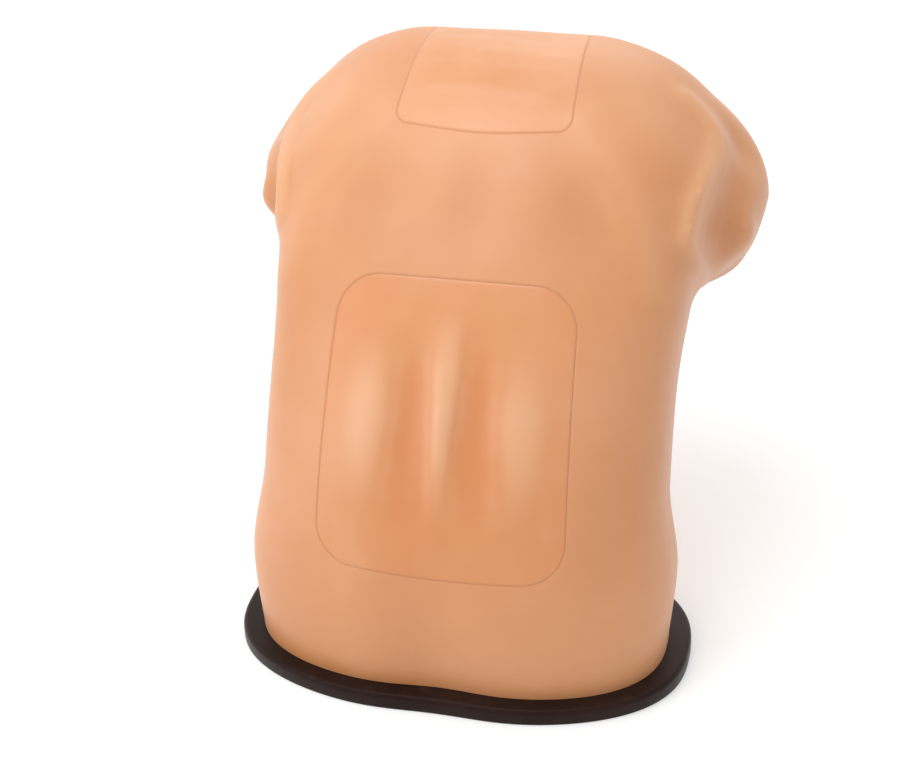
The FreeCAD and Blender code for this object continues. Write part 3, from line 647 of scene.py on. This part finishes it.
def foot_ring(turn, grow, z):
    """Outline of the foot, moved outward by grow, at a height."""
    direction, reach = foot_outline(turn)
    return lifted(direction * (reach + grow)[:, None], z)


def rim_ring(turn, inset, z):
    """Outline of the plate at a height: the foot moved outward by rim widths that differ
    to the side, back and front, less an inset."""
    direction, reach = foot_outline(turn)
    across, ahead = direction.T
    grow = np.hypot(RIM_SIDE * across, np.where(ahead < 0, RIM_BACK, RIM_FRONT) * ahead)
    return lifted(direction * (reach + grow - inset)[:, None], z)


def lifted(flat, z):
    """Flat points at a height."""
    return np.concatenate([flat, np.full((len(flat), 1), float(z))], 1)


def close_foot(body, outer, inner, turn):
    """Foot of the shell: under the wall, in to the flange's edge, up it and out again."""
    edge = -SHELL_WALL - FLANGE_WIDTH
    under = body.add(foot_ring(turn, edge, PLATE_THICKNESS))
    over = body.add(foot_ring(turn, edge, PLATE_THICKNESS + FLANGE_THICKNESS))
    body.bands([inner, over, under, outer])


def close_neck(body, outer, inner, turn):
    """Neck of the shell: a quarter round up to a flat end outside, a flat end inside."""
    loops = [outer]
    for rise in np.radians((15, 30, 45, 60, 75, 90)):
        height = NECK_HEIGHT - NECK_ROUNDING * (1 - math.sin(rise))
        inset = NECK_ROUNDING * (1 - math.cos(rise))
        loops.append(body.add(bent(*cast(np.full_like(turn, height), 0.0, turn, inset))))
    body.bands(loops)
    body.lid(loops[-1])
    body.lid(inner[::-1])


def insert_piece(name, window, relief, material, node):
    """A cast insert: relief skin, soft lip, straight side and flat floor."""
    block = Piece()
    flat = window.patch(-LIP_WIDTH, INSERT_CELLS)
    height = relief(flat)
    top = block.add(window.at(flat, window.skin(flat) + height), height)
    block.sheet(top)
    rim = np.concatenate([top[0, :-1], top[:-1, -1], top[-1, :0:-1], top[:0:-1, 0]])
    loops = [rim, *lipped(window, block, INSERT_CELLS, -1, relief)]
    flat = window.loop(0.0, INSERT_CELLS)
    floor_level = np.full(len(flat), -window.insert["depth"])
    # The insert's side and floor get the full seam value, painted shade.
    loops.append(block.add(window.at(flat, floor_level), 0.0, 1.0))
    block.bands(loops[::-1])
    block.lid(loops[-1][::-1])
    block.put(name, material, node)


# Points of the rim to each screw, share of the underside's middle disc, steps from it to the rim.
POINTS_PER_SCREW = 70
MIDDLE_SHARE, SPOKE_STEPS = 0.3, 21


def underside(plate, rim):
    """Flat underside: a middle disc, and round it a field to each screw, from the field's
    border in to the round recess, up to the screw's seat and on up the shank hole."""
    points = plate.at(rim)
    middle = plate.add(points * MIDDLE_SHARE)
    plate.lid(middle[::-1])
    shares = np.linspace(1, MIDDLE_SHARE, SPOKE_STEPS + 1)[1:-1, None, None]
    spokes = plate.add(points[::POINTS_PER_SCREW] * shares)
    for number, angle in enumerate(np.radians(SCREW_ANGLES)):
        first, ahead = number * POINTS_PER_SCREW, (number + 1) % len(SCREW_ANGLES)
        span = np.arange(first, first + POINTS_PER_SCREW + 1) % len(rim)
        border = np.concatenate([rim[span], spokes[:, ahead], middle[span[::-1]], spokes[::-1, number]])
        centre = foot_ring(np.array([angle]), -SHELL_WALL - FLANGE_WIDTH / 2, 0.0)[:, :2]
        way = plate.at(border)[:, :2] - centre
        way = way / np.linalg.norm(way, axis=1)[:, None]
        widths = (SHANK_HOLE, SHANK_HOLE, HEAD_HOLE, HEAD_HOLE)
        levels = (PLATE_THICKNESS - HOLE_COVER, SCREW_SEAT, SCREW_SEAT, 0)
        loops = [plate.add(lifted(centre + way * width / 2, z)) for width, z in zip(widths, levels)]
        plate.lid(loops[0][::-1])
        plate.bands([*loops, border])


def plate_piece(material):
    """Base plate: one profile carried round the rim, from the floor up its rounded
    edges to the top, then the land inside the flange of the shell."""
    screws = np.array([*SCREW_ANGLES, 360.0])
    ends = (screws[:-1] + screws[1:]) / 2
    starts = np.concatenate([[ends[-1] - 360], ends])
    turn = np.radians(np.linspace(starts[:-1], starts[1:], POINTS_PER_SCREW, endpoint=False)).T.ravel()
    under, edge = PLATE_FOOT_RADIUS, PLATE_EDGE_RADIUS
    profile = [(2.5 * under, 0.0), (1.5 * under, 0.0)]
    for rise in np.radians((0, 30, 60, 90)):
        profile.append((under * (1 - math.sin(rise)), under * (1 - math.cos(rise))))
    for rise in np.radians(np.linspace(0, 90, 9)):
        profile.append((edge * (1 - math.cos(rise)), PLATE_THICKNESS - edge + edge * math.sin(rise)))
    plate = Piece()
    loops = [plate.add(rim_ring(turn, inset, z)) for inset, z in profile]
    land = -SHELL_WALL - FLANGE_WIDTH - LAND_GAP
    for z in (PLATE_THICKNESS, PLATE_THICKNESS + LAND_HEIGHT):
        loops.append(plate.add(foot_ring(turn, land, z)))
    plate.bands(loops)
    underside(plate, loops[0])
    plate.lid(loops[-1])
    plate.put("plate_body", material, "base_plate")


# Materials.
class Value:
    """A shader value or colour. Sums on it add Math nodes."""

    def __init__(self, finish, socket):
        self.finish, self.socket = finish, socket

    def math(self, operation, first, second):
        """A Math node's result for two values or numbers."""
        return self.finish.node("ShaderNodeMath", {"operation": operation}, {0: first, 1: second})

    def __add__(self, other):
        return self.math("ADD", self, other)

    def __sub__(self, other):
        return self.math("SUBTRACT", self, other)

    def __rsub__(self, other):
        return self.math("SUBTRACT", other, self)

    def __mul__(self, other):
        return self.math("MULTIPLY", self, other)

    __radd__ = __add__
    __rmul__ = __mul__

    def clamped(self):
        """The value kept between 0 and 1."""
        return self.finish.node("ShaderNodeClamp", {}, {0: self})


class Finish:
    """A material whose Principled shader gets its values from expressions."""

    def __init__(self, name, **constants):
        self.material = bpy.data.materials.new(name)
        self.material.use_nodes = True
        self.tree = self.material.node_tree
        self.shader = self.tree.nodes["Principled BSDF"]
        for socket, value in constants.items():
            self.shader.inputs[socket.replace("_", " ")].default_value = value

    def node(self, kind, settings, inputs, output=0):
        """Adds a node, sets it up, fills its sockets and gives one output as a value."""
        made = self.tree.nodes.new(kind)
        for key, value in settings.items():
            setattr(made, key, value)
        for key, value in inputs.items():
            if isinstance(value, Value):
                self.tree.links.new(value.socket, made.inputs[key])
            else:
                made.inputs[key].default_value = value
        return Value(self, made.outputs[output])

    def drive(self, socket, value):
        """Links a value to a socket of the shader."""
        self.tree.links.new(value.socket, self.shader.inputs[socket])

    def place(self, scale=(1.0, 1.0, 1.0)):
        """Object coordinates, scaled."""
        own = self.node("ShaderNodeTexCoord", {}, {}, "Object")
        return self.node("ShaderNodeMapping", {}, {"Vector": own, "Scale": scale})

    def attribute(self, name):
        """A number that the piece's points carry."""
        return self.node("ShaderNodeAttribute", {"attribute_name": name}, {}, "Fac")

    def noise(self, place, cells, detail, roughness):
        """Soft noise from 0 to 1, with so many cells to the metre of the place."""
        sockets = {"Vector": place, "Scale": cells, "Detail": detail, "Roughness": roughness}
        return self.node("ShaderNodeTexNoise", {}, sockets)

    def mix(self, share, first, second):
        """Colour between two colours."""
        return self.node("ShaderNodeMix", {"data_type": "RGBA"}, {0: share, 6: first, 7: second}, 2)

    def ramp(self, value, low, high):
        """The value's own range from low to high as 0 to 1, smoothly and clamped."""
        settings = {"interpolation_type": "SMOOTHSTEP"}
        sockets = {"Value": value, "From Min": low, "From Max": high}
        return self.node("ShaderNodeMapRange", settings, sockets)

    def bump(self, height, distance, strength, under=None):
        """Bump from a height in units of the distance, over another bump if given."""
        sockets = {"Height": height, "Distance": distance, "Strength": strength}
        if under is not None:
            sockets["Normal"] = under
        return self.node("ShaderNodeBump", {}, sockets)


def rgb(red, green, blue):
    """Linear colour from 8-bit screen values, by the standard screen curve."""
    channels = [value / 255 for value in (red, green, blue)]
    linear = (c / 12.92 if c <= 0.04045 else ((c + 0.055) / 1.055) ** 2.4 for c in channels)
    return (*linear, 1.0)


# Painted shade for the gap of the seam round an insert.
SEAM_PAINTED_SHADE = rgb(150, 90, 54)


def skin_finish(name, *tones):
    """Moulded skin-toned plastic or cast tissue, from a deep, a middle, a pale and a rosy
    tone: clouds of the first two, a painted highlight of the pale tone on crests of the
    relief, painted shade of the deep tone in its hollows, painted shade down into the
    seam round an insert, rosy patches, fine pores and slow changes of gloss."""
    deep, middle, pale, rosy = (rgb(*tone) for tone in tones)
    gloss = dict(Specular_IOR_Level=0.9, IOR=1.48, Sheen_Weight=0.14, Sheen_Roughness=0.4)
    finish = Finish(name, **gloss)
    place = finish.place()
    clouds = finish.noise(place, cells=8.0, detail=3.0, roughness=0.55)
    patches = finish.noise(finish.place((5.0, 5.0, 9.0)), cells=1.0, detail=3.0, roughness=0.6)
    streaks = finish.noise(finish.place((17.0, 17.0, 6.0)), cells=1.0, detail=2.0, roughness=0.5)
    relief = finish.attribute("relief")
    # Masks for painted light: crest sets a painted highlight on the raised relief, hollow a painted shade
    # in its hollows.
    crest = finish.ramp(relief, low=0.4, high=3.8)
    hollow = finish.ramp(relief * -1, low=0.3, high=3.6)
    # Tone from random clouds and streaks, with painted highlight on crests and painted shade in hollows.
    shade = clouds * 0.6 + streaks * 0.4 + crest * 0.3 - hollow * 0.4
    colour = finish.mix(finish.ramp(shade, low=0.2, high=0.8), deep, middle)
    # Painted shade: the deep tone laid into the hollows of the relief.
    colour = finish.mix(hollow * 0.5, colour, deep)
    rosy_share = finish.ramp(patches, low=0.45, high=0.7) * (0.55 - hollow * 0.5)
    colour = finish.mix(rosy_share, colour, rosy)
    # Painted highlight of the pale tone on crests, plus pale random streaks.
    highlight_and_streak_share = crest * 0.34 + finish.ramp(streaks, low=0.6, high=0.85) * 0.2
    colour = finish.mix(highlight_and_streak_share.clamped(), colour, pale)
    # Painted shade in the seam round an insert, darkest down in the gap.
    colour = finish.mix(finish.attribute("seam") * 0.3, colour, SEAM_PAINTED_SHADE)
    finish.drive("Base Color", colour)
    freckle = finish.noise(place, cells=130.0, detail=3.0, roughness=0.6)
    pores = finish.noise(place, cells=900.0, detail=2.0, roughness=0.6)
    finish.drive("Roughness", clouds * 0.12 + patches * 0.08 + freckle * 0.05 + 0.31)
    ripple = finish.noise(place, cells=60.0, detail=2.0, roughness=0.5)
    rippled = finish.bump(ripple, distance=0.0006, strength=0.3)
    finish.drive("Normal", finish.bump(pores, distance=0.00012, strength=0.45, under=rippled))
    return finish.material


def plate_finish():
    """Dark brown moulded plastic: soft clouds of two browns, paler scuffs and a fine grain."""
    tint = (0.4, 0.28, 0.26, 1.0)
    finish = Finish("dark_moulded_plastic", Specular_IOR_Level=0.35, IOR=1.5, Specular_Tint=tint)
    place = finish.place()
    clouds = finish.noise(place, cells=9.0, detail=3.0, roughness=0.6)
    grain = finish.noise(place, cells=700.0, detail=2.0, roughness=0.6)
    scratches = finish.noise(finish.place((40.0, 40.0, 260.0)), cells=1.0, detail=4.0, roughness=0.65)
    scuffs = finish.ramp(scratches, low=0.55, high=0.75)
    colour = finish.mix(finish.ramp(clouds, low=0.3, high=0.7), rgb(24, 13, 10), rgb(37, 24, 20))
    finish.drive("Base Color", finish.mix(scuffs * 0.3, colour, rgb(62, 48, 44)))
    finish.drive("Roughness", clouds * 0.12 + scuffs * 0.14 + 0.36)
    uneven = finish.bump(clouds, distance=0.0008, strength=0.2)
    finish.drive("Normal", finish.bump(grain, distance=0.00018, strength=0.5, under=uneven))
    return finish.material


def inner_finish(name, dark, light, roughness, cells, **constants):
    """Plain inner part: two close tones in soft cells, with a fine cast grain."""
    finish = Finish(name, **constants)
    place = finish.place()
    clouds = finish.noise(place, cells, detail=4.0, roughness=0.6)
    grain = finish.noise(place, cells * 20, detail=2.0, roughness=0.6)
    share = finish.ramp(clouds, low=0.3, high=0.7)
    finish.drive("Base Color", finish.mix(share, rgb(*dark), rgb(*light)))
    finish.drive("Roughness", clouds * 0.2 + (roughness - 0.1))
    finish.drive("Normal", finish.bump(grain, distance=0.0002, strength=0.5))
    return finish.material


SHELL_SKIN = skin_finish("moulded_skin", (202, 133, 80), (212, 145, 91), (226, 172, 130), (213, 148, 105))
LUMBAR_SKIN = skin_finish("lumbar_tissue", (206, 126, 66), (213, 145, 91), (232, 182, 143), (215, 150, 106))
# The upper insert's tones are paler than the lumbar insert's: a painted highlight for the light from above
# reflecting between the shoulder blades.
UPPER_SKIN_PAINTED_HIGHLIGHT = skin_finish("upper_tissue", (209, 137, 82), (216, 151, 101), (235, 189, 153), (219, 160, 120))
PLATE = plate_finish()
# Materials of the inner parts by slot: name, dark and light tone, roughness, cells to the metre.
INNER = {
    "tray_plastic": inner_finish("tray_plastic", (226, 222, 213), (238, 235, 228), 0.45, 30.0),
    "bone": inner_finish("cast_bone", (222, 212, 186), (238, 231, 210), 0.6, 60.0),
    "disc": inner_finish("disc_rubber", (196, 202, 206), (214, 219, 222), 0.5, 60.0),
    "ligament": inner_finish("ligament_rubber", (222, 202, 138), (234, 217, 160), 0.5, 80.0),
    "sac": inner_finish("sac_rubber", (206, 219, 229), (222, 232, 240), 0.3, 60.0),
    "screw_steel": inner_finish("screw_steel", (168, 168, 172), (198, 198, 202), 0.35, 200.0, Metallic=1.0),
}

torso_piece(SHELL_SKIN)
insert_piece("lumbar_skin", LUMBAR_WINDOW, lumbar_relief, LUMBAR_SKIN, "lumbar_tissue")
insert_piece("upper_skin", UPPER_WINDOW, upper_relief, UPPER_SKIN_PAINTED_HIGHLIGHT, "upper_tissue")
plate_piece(PLATE)

for part in frame["record"]["subparts"]:
    if part["material_slot"] in INNER:
        node = frame["nodes"][part["node"]]
        node.data.materials.clear()
        node.data.materials.append(INNER[part["material_slot"]])


# Stage, in metres.
FLOOR_TONE, FLOOR_GLOW = 0.82, 0.24
FLOOR_START, FLOOR_END, FLOOR_HALF_WIDTH = -3.0, 1.6, 5.0
BACKDROP_RADIUS, BACKDROP_TOP = 0.9, 4.5
WORLD_STRENGTH = 0.78
# Name, place, size and power in watts of each lamp, and the point that they all face.
LAMPS = (
    ("key", (-1.5, -1.3, 2.0), 1.3, 4.0),
    ("low_key", (-1.8, -1.4, 0.8), 1.4, 10.0),
    ("top", (-0.45, -0.35, 2.6), 1.5, 22.0),
    ("left_edge", (-1.9, 0.9, 1.0), 1.2, 4.0),
    ("far", (0.2, 2.0, 2.0), 1.4, 10.0),
)
LAMP_TARGET = (0.0, 0.08, 0.25)
# Camera: angles in degrees, lens in sensor widths, the point it looks at and how far off it is.
AZIMUTH, ELEVATION, ROLL = 14.66, 30.44, -2.09
LENS_SHARE, SENSOR_WIDTH = 1961.3 / 909, 36.0
VIEW_TARGET, VIEW_DISTANCE = (-0.0175, 0.060, 0.2304), 1.75
NEAREST, FARTHEST = 0.05, 30.0


def seen_background(tree):
    """1 for the rays of the camera, of reflections and of light that passes through, else 0."""
    path = tree.nodes.new("ShaderNodeLightPath")
    seen = path.outputs["Is Camera Ray"]
    for name in ("Is Glossy Ray", "Is Transmission Ray"):
        larger = tree.nodes.new("ShaderNodeMath")
        larger.operation = "MAXIMUM"
        tree.links.new(seen, larger.inputs[0])
        tree.links.new(path.outputs[name], larger.inputs[1])
        seen = larger.outputs[0]
    return seen


def stage_finish():
    """Pale floor: plain diffuse white, with a glow that only the camera and reflections see."""
    material = bpy.data.materials.new("pale_floor")
    material.use_nodes = True
    tree = material.node_tree
    tree.nodes.clear()
    kinds = ("BsdfDiffuse", "Emission", "AddShader", "MixShader", "OutputMaterial")
    diffuse, glow, both, choice, output = (tree.nodes.new("ShaderNode" + kind) for kind in kinds)
    diffuse.inputs["Color"].default_value = (FLOOR_TONE, FLOOR_TONE, FLOOR_TONE, 1.0)
    glow.inputs["Strength"].default_value = FLOOR_GLOW
    tree.links.new(diffuse.outputs[0], both.inputs[0])
    tree.links.new(glow.outputs[0], both.inputs[1])
    tree.links.new(seen_background(tree), choice.inputs[0])
    tree.links.new(diffuse.outputs[0], choice.inputs[1])
    tree.links.new(both.outputs[0], choice.inputs[2])
    tree.links.new(choice.outputs[0], output.inputs["Surface"])
    return material


def floor():
    """Floor that curves up into a backdrop: a quarter circle between two straight runs."""
    bend = np.radians(np.linspace(0, 90, 25))
    curve = BACKDROP_RADIUS * np.stack([np.sin(bend), 1 - np.cos(bend)], -1) + (FLOOR_END, 0.0)
    run = np.concatenate([[(FLOOR_START, 0.0)], curve, [(FLOOR_END + BACKDROP_RADIUS, BACKDROP_TOP)]])
    points = np.empty((len(run), 2, 3))
    points[..., 0] = -FLOOR_HALF_WIDTH, FLOOR_HALF_WIDTH
    points[..., 1:] = run[:, None]
    index = np.arange(2 * len(run)).reshape(-1, 2)
    quads = np.stack([index[:-1, 0], index[:-1, 1], index[1:, 1], index[1:, 0]], -1)
    mesh = bpy.data.meshes.new("floor_sweep")
    mesh.from_pydata(points.reshape(-1, 3).tolist(), [], quads.tolist())
    mesh.polygons.foreach_set("use_smooth", np.ones(len(mesh.polygons), bool))
    mesh.materials.append(stage_finish())
    shown("floor_sweep", mesh)


def lamp(name, place, size, power):
    """Square soft light aimed at the common target."""
    data = bpy.data.lights.new(name, "AREA")
    data.size, data.energy = size, power
    light = shown(name, data)
    light.location = place
    light.rotation_euler = (Vector(place) - Vector(LAMP_TARGET)).to_track_quat("Z", "Y").to_euler()


def camera():
    """Camera at the photograph's viewing angle, worked out from the outline of the body."""
    azimuth, elevation, roll = (math.radians(angle) for angle in (AZIMUTH, ELEVATION, ROLL))
    level = math.cos(elevation)
    back = Vector((math.sin(azimuth) * level, -math.cos(azimuth) * level, math.sin(elevation)))
    right = Vector((math.cos(azimuth), math.sin(azimuth), 0.0))
    up = back.cross(right)
    turned_right = right * math.cos(roll) + up * math.sin(roll)
    turned_up = up * math.cos(roll) - right * math.sin(roll)
    data = bpy.data.cameras.new("view")
    data.sensor_width = SENSOR_WIDTH
    data.lens = LENS_SHARE * SENSOR_WIDTH
    data.clip_start, data.clip_end = NEAREST, FARTHEST
    view = shown("view", data)
    turned = Matrix((turned_right, turned_up, back)).transposed().to_4x4()
    view.matrix_world = Matrix.Translation(Vector(VIEW_TARGET) + back * VIEW_DISTANCE) @ turned
    bpy.context.scene.camera = view


def world():
    """Even pale surroundings, white where the camera or a reflection looks past the floor."""
    surroundings = bpy.data.worlds.new("studio")
    bpy.context.scene.world = surroundings
    surroundings.use_nodes = True
    tree = surroundings.node_tree
    background = tree.nodes["Background"]
    background.inputs["Color"].default_value = (1.0, 1.0, 1.0, 1.0)
    strength = tree.nodes.new("ShaderNodeMath")
    strength.operation = "MULTIPLY_ADD"
    tree.links.new(seen_background(tree), strength.inputs[0])
    strength.inputs[1].default_value = 1 - WORLD_STRENGTH
    strength.inputs[2].default_value = WORLD_STRENGTH
    tree.links.new(strength.outputs[0], background.inputs["Strength"])


floor()
world()
camera()
for values in LAMPS:
    lamp(*values)
bpy.context.scene.view_settings.view_transform = "Standard"
